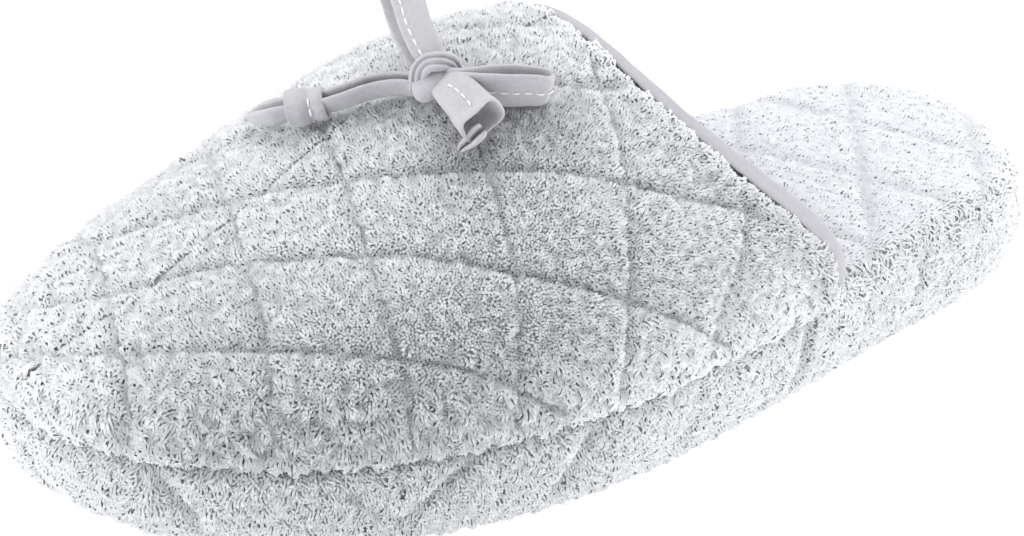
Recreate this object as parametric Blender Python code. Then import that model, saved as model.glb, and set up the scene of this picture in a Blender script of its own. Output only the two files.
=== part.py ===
"""House slipper for the left foot: a backless mule in padded towelling with a tied ribbon bow.

Toe at -X, heel at +X, medial side at +Y, floor at Z = 0. Tables and sizes are in millimetres,
stations run from the toe tip to the heel, and the meshes are made in metres.
"""

import math

import bmesh
import bpy
import numpy as np

MM = 0.001
MERGE = 1e-7
SHARP_ANGLE = math.radians(50.0)

# Plan outline of the sole at its fullest bulge.
LENGTH = 268.0
TOE_TIP_Y = 8.9
HEEL_TIP_Y = 8.4
OUTLINE = [
    # station, lateral y, medial y
    (5.0, -10.7, 27.3),
    (15.0, -25.1, 39.1),
    (30.0, -37.9, 48.5),
    (50.0, -48.3, 54.3),
    (91.0, -56.7, 56.7),
    (130.0, -54.7, 53.3),
    (170.0, -47.5, 47.8),
    (205.0, -40.3, 44.3),
    (228.0, -36.4, 44.1),
    (245.0, -30.7, 41.9),
    (258.0, -19.1, 34.1),
]
RING_STATIONS = 34

# Sole: side steps from the tread up to the rim where the upper is sewn on.
SEAM_Z = 20.2
HEEL_RISE = 1.3
HEEL_RISE_FROM = 176.0
HEEL_RISE_TO = 212.0
TOE_SPRING = 4.0
TOE_SPRING_LENGTH = 48.0
SOLE_STEPS = [
    # inset from the bulge, height
    (9.0, 0.0),
    (5.2, 0.6),
    (2.3, 2.7),
    (0.6, 6.0),
    (0.0, 9.5),
    (0.4, 13.5),
    (1.6, 17.0),
    (3.4, 19.3),
    (6.2, SEAM_Z),
]

# Insole: a padded sock, narrower under the upper than on the open heel.
FIT_GAP = 0.3
INSOLE_INSET_FRONT = 8.3
INSOLE_INSET_COLLAR = 9.7
INSOLE_INSET_HEEL = 5.0
INSOLE_NARROWS = (156.0, 166.0)
INSOLE_WIDENS = (177.5, 188.0)
INSOLE_STEPS = [
    # further inset, height over the sole
    (1.0, FIT_GAP),
    (0.0, 1.6),
    (0.3, 3.2),
    (1.6, 4.5),
    (4.6, 5.2),
    (13.0, 5.6),
]

# Upper: crown line and section fullness along the last, then the tuck into the seam.
WALL = 5.0
UPPER_INSET = 1.0
WIDEST_Z = SEAM_Z + 5.0
CROWN = [
    # station from the upper's tip, crown height, crown y, section power
    (0.0, WIDEST_Z, 8.9, 2.20),
    (1.0, 28.0, 8.9, 2.20),
    (4.0, 30.5, 8.8, 2.25),
    (8.0, 33.0, 8.7, 2.30),
    (22.0, 39.2, 8.2, 2.30),
    (42.0, 48.8, 7.4, 2.25),
    (60.0, 59.0, 6.9, 2.15),
    (80.0, 69.8, 6.4, 2.10),
    (100.0, 77.6, 6.0, 2.05),
    (116.0, 80.0, 5.9, 2.00),
    (132.0, 77.8, 5.9, 2.00),
    (155.0, 74.0, 5.9, 2.00),
    (190.0, 69.0, 5.9, 2.00),
]
TUCK = [
    # further inset, height, how far the rounded collar corner goes forward there
    (1.8, SEAM_Z + FIT_GAP, 10.0),
    (0.3, WIDEST_Z - 2.4, 5.0),
]
STEEPEST = 0.8
LEAST_TOE_RISE = 1.0
HALF_STEP = 0.5
UPPER_ROWS = 26
UPPER_COLUMNS = 24
ROW_CROWDING = 1.6

# Collar line: its foremost point on the crown, its two ends and the start of its rounded corners.
COLLAR_APEX = 134.0
COLLAR_END_LATERAL = 175.5
COLLAR_END_MEDIAL = 173.5
COLLAR_POWER = 3.7
CORNER_TURN = 75.0
CORNER_FORWARD = 2.0

# Binding folded over the collar edge, and how far its ends reach round the corners.
BINDING_COVER = 3.8
BINDING_THICK = 1.0
BINDING_GAP = 0.45
BINDING_EASE = 0.3
BINDING_END_SHARE = 0.5
BINDING_OVER = BINDING_GAP + BINDING_THICK
BINDING_LEG = [
    # past the edge, off the wall
    (-BINDING_COVER, BINDING_GAP + BINDING_EASE),
    (-BINDING_COVER, BINDING_OVER + BINDING_EASE),
    (-0.2, BINDING_OVER),
    (0.8, 0.9 * BINDING_OVER),
    (BINDING_OVER, 0.0),
]
BINDING_BEND = 2.2

# Bow: one ribbon tied on the vamp; each run is a path with its own sections.
RIBBON_CORNERS = 12
RIBBON_STEPS = 3
RIBBON_EDGE_POWER = 0.55
RIBBON_FACE_POWER = 0.75
# Columns of a run: station and turn of the vamp below it, height over the vamp, width and
# thickness of the section, then the way the width points (to the toe, to the medial side, up).
BOW_KNOT = [
    (96.5, -10.5, 7.0, 4.0, 4.0, 0.3, 1.0, 0.0),
    (96.0, -10.5, 7.0, 7.6, 7.0, 0.3, 1.0, 0.0),
    (94.0, -10.5, 6.9, 9.4, 8.6, 0.3, 1.0, 0.0),
    (92.5, -10.0, 6.6, 9.8, 8.8, 0.3, 1.0, 0.0),
    (90.5, -10.0, 6.0, 9.0, 8.0, 0.3, 1.0, 0.0),
    (89.5, -10.0, 5.6, 5.6, 5.2, 0.3, 1.0, 0.0),
]
BOW_LOOP_MEDIAL = [
    (93.5, -10.5, 8.5, 7.0, 1.7, 1.0, 0.0, 0.0),
    (94.0, -9.0, 11.0, 8.0, 1.7, 1.0, 0.0, 0.0),
    (95.0, -5.5, 13.8, 8.4, 1.7, 1.0, 0.0, 0.0),
    (96.5, -1.0, 16.6, 8.4, 1.7, 1.0, 0.0, 0.0),
    (98.0, 3.5, 18.6, 8.4, 1.7, 1.0, 0.0, 0.0),
    (99.5, 8.5, 18.0, 8.4, 1.7, 1.0, 0.0, 0.0),
    (99.5, 10.5, 15.0, 8.4, 1.7, 1.0, 0.0, 0.0),
    (97.5, 6.5, 12.2, 8.4, 1.7, 1.0, 0.0, 0.0),
    (95.5, 1.0, 9.8, 8.4, 1.7, 1.0, 0.0, 0.0),
    (94.0, -4.0, 7.8, 8.0, 1.7, 1.0, 0.0, 0.0),
    (93.0, -8.0, 6.2, 7.0, 1.7, 1.0, 0.0, 0.0),
]
BOW_LOOP_LATERAL = [
    (94.0, -11.0, 6.2, 6.6, 1.7, -0.1, 0.2, 1.0),
    (97.5, -14.0, 6.1, 7.8, 1.7, -0.1, 0.2, 1.0),
    (102.0, -17.5, 6.0, 8.0, 1.7, -0.1, 0.2, 1.0),
    (106.0, -21.0, 5.9, 8.0, 1.7, -0.1, 0.2, 1.0),
    (109.0, -24.0, 5.8, 8.0, 1.7, -0.1, 0.2, 1.0),
    (109.5, -26.5, 5.7, 8.0, 1.7, -0.1, 0.2, 1.0),
    (106.5, -27.0, 5.5, 8.0, 1.7, -0.1, 0.2, 1.0),
    (102.0, -24.5, 5.5, 8.0, 1.7, -0.1, 0.2, 1.0),
    (98.5, -20.5, 5.6, 7.8, 1.7, -0.1, 0.2, 1.0),
    (96.0, -16.5, 5.6, 7.2, 1.7, -0.1, 0.2, 1.0),
    (93.5, -12.5, 5.6, 6.6, 1.7, -0.1, 0.2, 1.0),
]
BOW_TAIL_TOE = [
    (91.0, -8.5, 5.0, 6.0, 3.0, 0.0, -0.3, 1.0),
    (88.5, -6.5, 5.5, 6.8, 3.2, 0.0, -0.4, 1.0),
    (85.5, -3.0, 5.7, 7.2, 3.4, 0.0, -0.5, 1.0),
    (81.0, 0.0, 5.3, 7.2, 3.4, 0.0, -0.5, 1.0),
    (77.5, 2.0, 4.9, 6.8, 4.0, 0.0, -0.4, 1.0),
    (76.0, 2.5, 5.3, 9.2, 7.4, 0.0, -0.3, 1.0),
    (73.5, 5.0, 5.5, 9.8, 8.4, 0.0, -0.3, 1.0),
    (71.0, 8.5, 5.3, 9.2, 7.6, 0.0, -0.3, 1.0),
    (70.5, 11.0, 4.2, 5.8, 4.4, 0.0, -0.3, 1.0),
    (69.0, 16.5, 3.2, 5.0, 3.2, 0.0, -0.2, 1.0),
    (67.5, 23.5, 2.3, 2.4, 2.0, 0.0, -0.2, 1.0),
]
BOW_TAIL_SIDE = [
    (92.0, -11.5, 7.4, 6.8, 1.9, 0.8, 0.5, 0.1),
    (93.5, -15.0, 7.8, 7.8, 1.9, 0.8, 0.5, 0.1),
    (94.5, -18.0, 7.6, 8.0, 2.1, 0.8, 0.5, 0.1),
    (95.5, -21.0, 7.0, 8.0, 3.2, 0.8, 0.4, 0.1),
    (95.5, -23.5, 6.2, 8.6, 6.2, 0.9, 0.2, 0.2),
    (94.0, -26.0, 5.6, 8.8, 7.0, 0.9, -0.2, 0.3),
    (92.0, -27.0, 5.0, 7.6, 6.2, 0.7, -0.5, 0.4),
    (90.0, -27.0, 3.8, 4.4, 3.6, 0.5, -0.6, 0.5),
    (88.0, -26.5, 2.5, 2.2, 2.0, 0.4, -0.6, 0.6),
]


def through(knots, values, at):
    """Smooth curve through the values at the knots, read at the given places."""
    knots, values, at = (np.asarray(v, float) for v in (knots, values, at))
    slope = np.gradient(values, knots, axis=0)
    i = np.clip(np.searchsorted(knots, at) - 1, 0, len(knots) - 2)
    h = knots[i + 1] - knots[i]
    t = (at - knots[i]) / h
    if values.ndim > 1:
        h, t = h[:, None], t[:, None]
    return (
        (1 + 2 * t) * (1 - t) ** 2 * values[i]
        + t * (1 - t) ** 2 * h * slope[i]
        + t * t * (3 - 2 * t) * values[i + 1]
        + t * t * (t - 1) * h * slope[i + 1]
    )


def ramp(at, start, end):
    """0 before the start, 1 after the end, with an even turn between."""
    t = np.clip((np.asarray(at, float) - start) / (end - start), 0, 1)
    return t * t * (3 - 2 * t)


def unit(vectors):
    return vectors / np.linalg.norm(vectors, axis=-1, keepdims=True)


def plan_outline(count=2400):
    """Closed cubic spline through the outline table, from the toe tip round the lateral side."""
    rows = np.array(OUTLINE)
    points = np.vstack([
        [(0.0, TOE_TIP_Y)], rows[:, [0, 1]],
        [(LENGTH, HEEL_TIP_Y)], rows[::-1, [0, 2]],
    ])
    turn = len(points)
    points = np.vstack([points, points, points])
    chords = np.linalg.norm(np.diff(points, axis=0), axis=1)
    knots = np.concatenate([[0.0], np.cumsum(np.sqrt(chords))])
    h = np.diff(knots)
    rise = np.diff(points, axis=0) / h[:, None]
    matrix = np.eye(len(points))
    slopes = np.zeros_like(points)
    slopes[0], slopes[-1] = rise[0], rise[-1]
    for i in range(1, len(points) - 1):
        matrix[i, i - 1:i + 2] = h[i], 2 * (h[i] + h[i - 1]), h[i - 1]
        slopes[i] = 3 * (h[i] * rise[i - 1] + h[i - 1] * rise[i])
    slopes = np.linalg.solve(matrix, slopes)
    at = np.linspace(knots[turn], knots[2 * turn], count + 1)[:-1]
    i = np.searchsorted(knots, at, side="right") - 1
    t = ((at - knots[i]) / h[i])[:, None]
    span = h[i][:, None]
    curve = (
        (1 + 2 * t) * (1 - t) ** 2 * points[i]
        + t * (1 - t) ** 2 * span * slopes[i]
        + t * t * (3 - 2 * t) * points[i + 1]
        + t * t * (t - 1) * span * slopes[i + 1]
    )
    return np.roll(curve, -int(curve[:, 0].argmin()), axis=0)


PLAN = plan_outline()
PLAN_STEP = unit(np.roll(PLAN, -1, axis=0) - np.roll(PLAN, 1, axis=0))
PLAN_IN = np.stack([-PLAN_STEP[:, 1], PLAN_STEP[:, 0]], axis=1)
HEEL_INDEX = int(PLAN[:, 0].argmax())
MIDDLE_X = (PLAN[:, 0].min() + PLAN[:, 0].max()) / 2
MIDDLE_Y = (PLAN[:, 1].min() + PLAN[:, 1].max()) / 2


def sides(inset):
    """Lateral and medial plan curves, both from the toe tip to the heel, at an inset."""
    ring = PLAN + inset * PLAN_IN
    lateral = ring[: HEEL_INDEX + 1]
    medial = np.vstack([ring[HEEL_INDEX:], ring[:1]])[::-1]
    return lateral, medial


def ring_indices():
    """Places along the plan outline that pair up across the foot at even turns of a circle."""
    turns = np.pi * np.arange(1, RING_STATIONS + 1) / (RING_STATIONS + 1)
    stations = LENGTH / 2 * (1 - np.cos(turns))
    lateral = np.searchsorted(PLAN[:HEEL_INDEX, 0], stations)
    back = PLAN[HEEL_INDEX:, 0][::-1]
    medial = len(PLAN) - 1 - np.searchsorted(back, stations)
    return np.concatenate([[0], lateral, [HEEL_INDEX], medial[::-1]])


RING = ring_indices()


def sole_top(station):
    return SEAM_Z + HEEL_RISE * ramp(station, HEEL_RISE_FROM, HEEL_RISE_TO)


def crown_line(station):
    """Crown height, crown y and section power along the upper."""
    rows = np.array(CROWN)
    root = np.sqrt(np.clip(np.asarray(station, float) - UPPER_INSET, 0, None))
    knots = np.sqrt(rows[:, 0])
    return [through(knots, rows[:, column], root) for column in (1, 2, 3)]


def vamp(station, turn, depth=0.0):
    """Point of the upper at a station and a turn (-90 lateral, 90 medial), so deep in its wall."""
    station, turn = np.broadcast_arrays(np.asarray(station, float), np.asarray(turn, float))
    crown, middle, power = crown_line(station)
    slope = crown_line(station + HALF_STEP)[0] - crown_line(station - HALF_STEP)[0]
    slope = np.clip(slope / (2 * HALF_STEP), -STEEPEST, STEEPEST)
    lateral, medial = sides(UPPER_INSET + depth)
    left = np.interp(station, lateral[:, 0], lateral[:, 1])
    right = np.interp(station, medial[:, 0], medial[:, 1])
    tip = np.sqrt(np.clip(station - lateral[0, 0], 0, None))
    height = crown - depth * np.sqrt(1 + slope ** 2) - WIDEST_Z
    height = np.maximum(height, LEAST_TOE_RISE * np.minimum(tip, 1.0))
    angle = np.radians(turn)
    half = np.where(angle < 0, middle - left, right - middle)
    y = middle + np.sign(angle) * half * np.abs(np.sin(angle)) ** (2 / power)
    z = WIDEST_Z + height * np.clip(np.cos(angle), 0, 1) ** (2 / power)
    return np.stack([station, y, z], axis=-1)


def collar_station(turn):
    end = np.where(np.asarray(turn) < 0, COLLAR_END_LATERAL, COLLAR_END_MEDIAL)
    side = np.abs(np.sin(np.radians(turn)))
    corner = ramp(np.abs(turn), CORNER_TURN, 90)
    return COLLAR_APEX + (end - COLLAR_APEX) * side ** COLLAR_POWER - CORNER_FORWARD * corner ** 2


def upper_skin(depth):
    """Rows from the toe to the collar, columns from the lateral seam over the crown to the medial."""
    turns = np.linspace(-90, 90, UPPER_COLUMNS + 1)
    share = (np.linspace(0, 1, UPPER_ROWS + 1) ** ROW_CROWDING)[:, None]
    tip = sides(UPPER_INSET + depth)[0][0]
    stations = tip[0] + (collar_station(turns) - tip[0]) * share
    dome = vamp(stations, np.broadcast_to(turns, stations.shape), depth)
    dome[0] = (tip[0], tip[1], WIDEST_Z)
    lips = []
    for end, side in ((COLLAR_END_LATERAL, 0), (COLLAR_END_MEDIAL, 1)):
        for further, height, forward in TUCK:
            curve = sides(UPPER_INSET + depth + further)[side]
            at = curve[0, 0] + (end - forward - curve[0, 0]) * share[:, 0]
            y = np.interp(at, curve[:, 0], curve[:, 1])
            lips.append(np.stack([at, y, np.full_like(at, height)], axis=1)[:, None])
    return np.concatenate([lips[0], lips[1], dome, lips[3], lips[2]], axis=1)


def on_vamp(station, turn, height):
    """Point over the vamp and its directions: to the toe, to the medial side and up."""
    base = vamp(station, turn)
    ahead = unit(vamp(station - HALF_STEP, turn) - vamp(station + HALF_STEP, turn))
    across = unit(vamp(station, turn + HALF_STEP) - vamp(station, turn - HALF_STEP))
    up = unit(np.cross(across, ahead))
    across = np.cross(ahead, up)
    return base + height[:, None] * up, ahead, across, up


def clear_scene():
    for old in list(bpy.data.objects):
        bpy.data.objects.remove(old, do_unlink=True)


def collection(name, hidden=False):
    made = bpy.data.collections.new(name)
    made.hide_render = hidden
    bpy.context.scene.collection.children.link(made)
    return made


def solid(name, home, points, faces, colour, roughness):
    """Object from points in millimetres and faces, closed up and facing out."""
    mesh = bpy.data.meshes.new(name)
    placed = (np.asarray(points, float) - (MIDDLE_X, MIDDLE_Y, 0.0)) * MM
    mesh.from_pydata(placed.tolist(), [], faces)
    work = bmesh.new()
    work.from_mesh(mesh)
    bmesh.ops.remove_doubles(work, verts=work.verts, dist=MERGE)
    bmesh.ops.recalc_face_normals(work, faces=work.faces)
    work.to_mesh(mesh)
    work.free()
    mesh.shade_smooth()
    mesh.set_sharp_from_angle(angle=SHARP_ANGLE)
    material = bpy.data.materials.new(name)
    material.use_nodes = True
    shader = material.node_tree.nodes["Principled BSDF"]
    shader.inputs["Base Color"].default_value = (*colour, 1.0)
    shader.inputs["Roughness"].default_value = roughness
    mesh.materials.append(material)
    made = bpy.data.objects.new(name, mesh)
    home.objects.link(made)
    return made


def stacked_rings(rings):
    """Faces of rings one over the other, with caps made of strips straight across the foot."""
    rows, count = rings.shape[:2]
    faces = []
    for row in range(rows - 1):
        for i in range(count):
            after = (i + 1) % count
            a, b = row * count, (row + 1) * count
            faces.append((a + i, a + after, b + after, b + i))
    half = count // 2
    for base in (0, (rows - 1) * count):
        for i in range(half):
            near = [base + i, base + i + 1]
            far = [base + (count - i - 1) % count, base + (count - i) % count]
            corners = near + far
            faces.append([c for k, c in enumerate(corners) if c not in corners[:k]])
    return rings.reshape(-1, 3), faces


def grid_faces(rows, columns, first=0):
    return [
        (first + r * columns + c, first + r * columns + c + 1,
         first + (r + 1) * columns + c + 1, first + (r + 1) * columns + c)
        for r in range(rows - 1) for c in range(columns - 1)
    ]


def tube_faces(rows, columns):
    """Faces of closed sections along a path, with both ends capped."""
    faces = [tuple(range(columns)), tuple(range((rows - 1) * columns, rows * columns))]
    for r in range(rows - 1):
        for c in range(columns):
            after = (c + 1) % columns
            a, b = r * columns, (r + 1) * columns
            faces.append((a + c, a + after, b + after, b + c))
    return faces


def make_sole(home):
    plan, inward = PLAN[RING], PLAN_IN[RING]
    station = plan[:, 0]
    lift = TOE_SPRING * np.clip(1 - station / TOE_SPRING_LENGTH, 0, 1) ** 2
    rings = []
    for inset, height in SOLE_STEPS:
        z = height * sole_top(station) / SEAM_Z + lift * (1 - height / SEAM_Z)
        rings.append(np.column_stack([plan + inset * inward, z]))
    points, faces = stacked_rings(np.array(rings))
    return solid("sole", home, points, faces, (0.62, 0.64, 0.66), 0.95)


def make_insole(home):
    plan, inward = PLAN[RING], PLAN_IN[RING]
    station = plan[:, 0]
    edge = (
        INSOLE_INSET_FRONT
        + (INSOLE_INSET_COLLAR - INSOLE_INSET_FRONT) * ramp(station, *INSOLE_NARROWS)
        + (INSOLE_INSET_HEEL - INSOLE_INSET_COLLAR) * ramp(station, *INSOLE_WIDENS)
    )
    rings = []
    for further, height in INSOLE_STEPS:
        ring = plan + (edge + further)[:, None] * inward
        rings.append(np.column_stack([ring, sole_top(station) + height]))
    points, faces = stacked_rings(np.array(rings))
    return solid("insole", home, points, faces, (0.82, 0.83, 0.86), 0.95)


def make_upper(home):
    outer, inner = upper_skin(0.0), upper_skin(WALL)
    rows, columns = outer.shape[:2]
    first = rows * columns
    points = np.vstack([outer.reshape(-1, 3), inner.reshape(-1, 3)])
    faces = grid_faces(rows, columns) + grid_faces(rows, columns, first)
    for r in range(rows - 1):
        for c in (0, columns - 1):
            a, b = r * columns + c, (r + 1) * columns + c
            faces.append((a, b, first + b, first + a))
    edge = (rows - 1) * columns
    for c in range(columns - 1):
        a, b = edge + c, edge + c + 1
        faces.append((a, b, first + b, first + a))
    return solid("upper", home, points, faces, (0.60, 0.61, 0.64), 0.95)


def make_binding(home):
    """Folded strip that straddles the collar edge, clear of the wall all round."""
    skins = [upper_skin(0.0)[:, 1:-1], upper_skin(WALL)[:, 1:-1]]
    for skin in skins:
        for end, inside in ((0, 1), (-1, -2)):
            skin[:, end] += BINDING_END_SHARE * (skin[:, inside] - skin[:, end])
    ways, outs = [], []
    for skin, facing in zip(skins, (1.0, -1.0)):
        along = unit(np.gradient(skin[-1], axis=0))
        out = unit(np.cross(skin[-1] - skin[-2], along))
        ways.append(np.cross(along, out))
        outs.append(facing * out)
    edges = [skin[-1] for skin in skins]
    legs = [
        [edge + past * way + off * out for past, off in BINDING_LEG]
        for edge, way, out in zip(edges, ways, outs)
    ]
    bend = (edges[0] + edges[1]) / 2 + BINDING_BEND * unit(ways[0] + ways[1])
    inside = [edge + BINDING_GAP * (way + out) for edge, way, out in zip(edges, ways, outs)]
    sections = legs[0] + [bend] + legs[1][::-1] + [inside[1], inside[0]]
    points = np.stack(sections, axis=1)
    rows, columns = points.shape[:2]
    faces = tube_faces(rows, columns)
    return solid("collar_binding", home, points.reshape(-1, 3), faces, (0.48, 0.48, 0.52), 0.85)


def ribbon(name, home, table):
    """Run of the bow's ribbon: rounded flat sections along a smooth path over the vamp."""
    rows = np.array(table)
    place, ahead, across, up = on_vamp(rows[:, 0], rows[:, 1], rows[:, 2])
    wide_way = rows[:, 5:6] * ahead + rows[:, 6:7] * across + rows[:, 7:8] * up
    knots = np.arange(len(rows), dtype=float)
    at = np.linspace(0, len(rows) - 1, (len(rows) - 1) * RIBBON_STEPS + 1)
    path = through(knots, place, at)
    along = unit(np.gradient(path, axis=0))
    wide = through(knots, wide_way, at)
    wide = unit(wide - np.sum(wide * along, axis=1, keepdims=True) * along)
    thick = np.cross(along, wide)
    width = through(knots, rows[:, 3], at)
    depth = through(knots, rows[:, 4], at)
    angles = 2 * np.pi * np.arange(RIBBON_CORNERS) / RIBBON_CORNERS
    cos, sin = np.cos(angles), np.sin(angles)
    flat = np.sign(cos) * np.abs(cos) ** RIBBON_EDGE_POWER / 2
    deep = np.sign(sin) * np.abs(sin) ** RIBBON_FACE_POWER / 2
    points = (
        path[:, None]
        + (width[:, None] * flat)[..., None] * wide[:, None]
        + (depth[:, None] * deep)[..., None] * thick[:, None]
    )
    faces = tube_faces(len(at), RIBBON_CORNERS)
    return solid(name, home, points.reshape(-1, 3), faces, (0.56, 0.56, 0.59), 0.85)


def make_bow(home, helpers):
    """Knot with its two loops and two knotted tails, joined as the one ribbon they are."""
    bow = ribbon("bow", home, BOW_KNOT)
    runs = (
        ("bow_loop_medial", BOW_LOOP_MEDIAL),
        ("bow_loop_lateral", BOW_LOOP_LATERAL),
        ("bow_tail_toe", BOW_TAIL_TOE),
        ("bow_tail_side", BOW_TAIL_SIDE),
    )
    for name, table in runs:
        run = ribbon(name, helpers, table)
        run.hide_render = True
        run.display_type = "WIRE"
        join = bow.modifiers.new(name, "BOOLEAN")
        join.operation = "UNION"
        join.solver = "MANIFOLD"
        join.object = run
    return bow


clear_scene()
slipper = collection("house_slipper")
cutters = collection("bow_runs", hidden=True)
make_sole(slipper)
make_insole(slipper)
make_upper(slipper)
make_binding(slipper)
make_bow(slipper, cutters)
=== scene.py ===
"""Looks of the house slipper: a quilted towelling mule with a jersey binding and a ribbon bow.

Toe at -X, heel at +X, medial side at +Y, floor at Z = 0. Sizes and places are in millimetres.
"""

import math

import bpy
import numpy as np
from mathutils import Matrix, Vector, noise
from mathutils.bvhtree import BVHTree
from mathutils.kdtree import KDTree


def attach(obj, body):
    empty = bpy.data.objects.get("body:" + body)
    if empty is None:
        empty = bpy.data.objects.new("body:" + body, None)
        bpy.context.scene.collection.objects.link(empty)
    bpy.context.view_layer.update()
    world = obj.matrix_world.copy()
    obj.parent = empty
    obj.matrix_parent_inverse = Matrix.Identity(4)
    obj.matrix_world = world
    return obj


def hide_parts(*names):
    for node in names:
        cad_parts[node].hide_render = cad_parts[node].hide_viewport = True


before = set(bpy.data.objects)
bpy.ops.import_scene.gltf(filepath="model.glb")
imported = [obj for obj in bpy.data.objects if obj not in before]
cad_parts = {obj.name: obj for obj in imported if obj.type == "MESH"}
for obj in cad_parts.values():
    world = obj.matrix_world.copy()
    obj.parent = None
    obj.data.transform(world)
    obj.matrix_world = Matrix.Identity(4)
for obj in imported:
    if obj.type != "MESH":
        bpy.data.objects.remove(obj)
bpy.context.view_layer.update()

# View: from the lateral side of the toe and above it, close enough that the slipper fills the
# picture from side to side. The camera is rolled a little, as it was held in the hand.
MM = 0.001
VIEW_TURN = math.radians(-36.8)
VIEW_RISE = math.radians(28.7)
VIEW_ROLL = math.radians(2.7)
VIEW_DISTANCE = 602.0
VIEW_AIM_RIGHT = -12.1
VIEW_AIM_UP = 16.5
VIEW_AIM_Y = 0.9
LENS = 92.1

view_back = Vector((
    math.sin(VIEW_TURN) * math.cos(VIEW_RISE),
    -math.cos(VIEW_TURN) * math.cos(VIEW_RISE),
    math.sin(VIEW_RISE),
))
level = Vector((math.cos(VIEW_TURN), math.sin(VIEW_TURN), 0.0))
rise = view_back.cross(level)
view_right = level * math.cos(VIEW_ROLL) + rise * math.sin(VIEW_ROLL)
view_up = rise * math.cos(VIEW_ROLL) - level * math.sin(VIEW_ROLL)
aim = view_right * VIEW_AIM_RIGHT + view_up * VIEW_AIM_UP + Vector((0.0, VIEW_AIM_Y, 0.0))
camera = bpy.data.objects.new("camera", bpy.data.cameras.new("camera"))
bpy.context.scene.collection.objects.link(camera)
camera.data.lens = LENS
camera.data.clip_start = 0.01
turned = Matrix((view_right, view_up, view_back)).transposed().to_4x4()
camera.matrix_world = Matrix.Translation((aim + view_back * VIEW_DISTANCE) * MM) @ turned
bpy.context.scene.camera = camera

# Studio: a white light table with soft boxes round it at the toe, the heel, the far side and above,
# so the side that faces the camera is the shaded one and the table stays white.
TABLE_SIZE = 6.0
TABLE_GLOW = 0.63
SKY_STRENGTH = 0.42
BACKDROP = 0.8
SOFT_BOXES = [
    # name, place, size, power in watts
    ("box_toe_side", (-0.95, 0.20, 0.45), 0.8, 6.2),
    ("box_heel_side", (0.60, -0.35, 0.38), 0.5, 3.6),
    ("box_far_side", (0.10, 0.95, 0.60), 0.9, 2.0),
    ("box_above", (0.10, 0.10, 1.10), 0.9, 7.5),
]


def linear(hex_colour):
    """Linear red, green, blue and alpha of an sRGB hex colour."""
    parts = [int(hex_colour[i:i + 2], 16) / 255 for i in (1, 3, 5)]
    return (*[p / 12.92 if p <= 0.04045 else ((p + 0.055) / 1.055) ** 2.4 for p in parts], 1.0)


def node(material, kind, inputs=None, **settings):
    """Adds a node: settings are its properties, inputs are values or sockets by their names."""
    tree = material.node_tree
    made = tree.nodes.new(kind)
    for name, value in settings.items():
        setattr(made, name, value)
    for name, value in (inputs or {}).items():
        if isinstance(value, bpy.types.NodeSocket):
            tree.links.new(value, made.inputs[name])
        else:
            made.inputs[name].default_value = value
    return made


def new_material(name):
    """New material with Blender's own first nodes, and the Principled shader among them."""
    material = bpy.data.materials.new(name)
    material.use_nodes = True
    return material, material.node_tree.nodes["Principled BSDF"]


bpy.ops.object.select_all(action="DESELECT")
bpy.ops.mesh.primitive_plane_add(size=TABLE_SIZE)
table = bpy.context.object
table.name = "light_table"
# Opal acrylic: an even white with a faint glow of its own from the lamps below it.
acrylic, shader = new_material("opal_acrylic")
shader.inputs["Base Color"].default_value = linear("#F7F8F9")
shader.inputs["Roughness"].default_value = 0.85
shader.inputs["Emission Color"].default_value = linear("#FFFFFF")
shader.inputs["Emission Strength"].default_value = TABLE_GLOW
table.data.materials.append(acrylic)

for name, place, size, power in SOFT_BOXES:
    lamp = bpy.data.lights.new(name, "AREA")
    lamp.size = size
    lamp.energy = power
    lamp_object = bpy.data.objects.new(name, lamp)
    bpy.context.scene.collection.objects.link(lamp_object)
    lamp_object.location = place
    lamp_object.rotation_euler = (-Vector(place)).to_track_quat("-Z", "Y").to_euler()

sky = bpy.data.worlds.new("studio")
sky.use_nodes = True
sky.node_tree.nodes["Background"].inputs["Color"].default_value = linear("#FDFDFF")
seen = node(sky, "ShaderNodeLightPath")
glow = node(sky, "ShaderNodeMath",
            {0: seen.outputs["Is Camera Ray"], 1: BACKDROP - SKY_STRENGTH, 2: SKY_STRENGTH},
            operation="MULTIPLY_ADD")
sky.node_tree.links.new(glow.outputs[0], sky.node_tree.nodes["Background"].inputs["Strength"])
bpy.context.scene.world = sky
bpy.context.scene.view_settings.view_transform = "Standard"

# Sole: a padded slab wrapped in the same towelling as the upper, quilted in a zigzag round its wall.
# The cloth is turned under all round and a plain tread cloth is sewn on below.
MIDDLE_X = 134.0
OUTLINE = [
    # station, lateral y, medial y
    (0.0, 8.9, 8.9),
    (5.0, -10.7, 27.3),
    (15.0, -25.1, 39.1),
    (30.0, -37.9, 48.5),
    (50.0, -48.3, 54.3),
    (91.0, -56.7, 56.7),
    (130.0, -54.7, 53.3),
    (170.0, -47.5, 47.8),
    (205.0, -40.3, 44.3),
    (228.0, -36.4, 44.1),
    (245.0, -30.7, 41.9),
    (258.0, -19.1, 34.1),
    (268.0, 8.4, 8.4),
]
SOLE_VOXEL = 1.7
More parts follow.
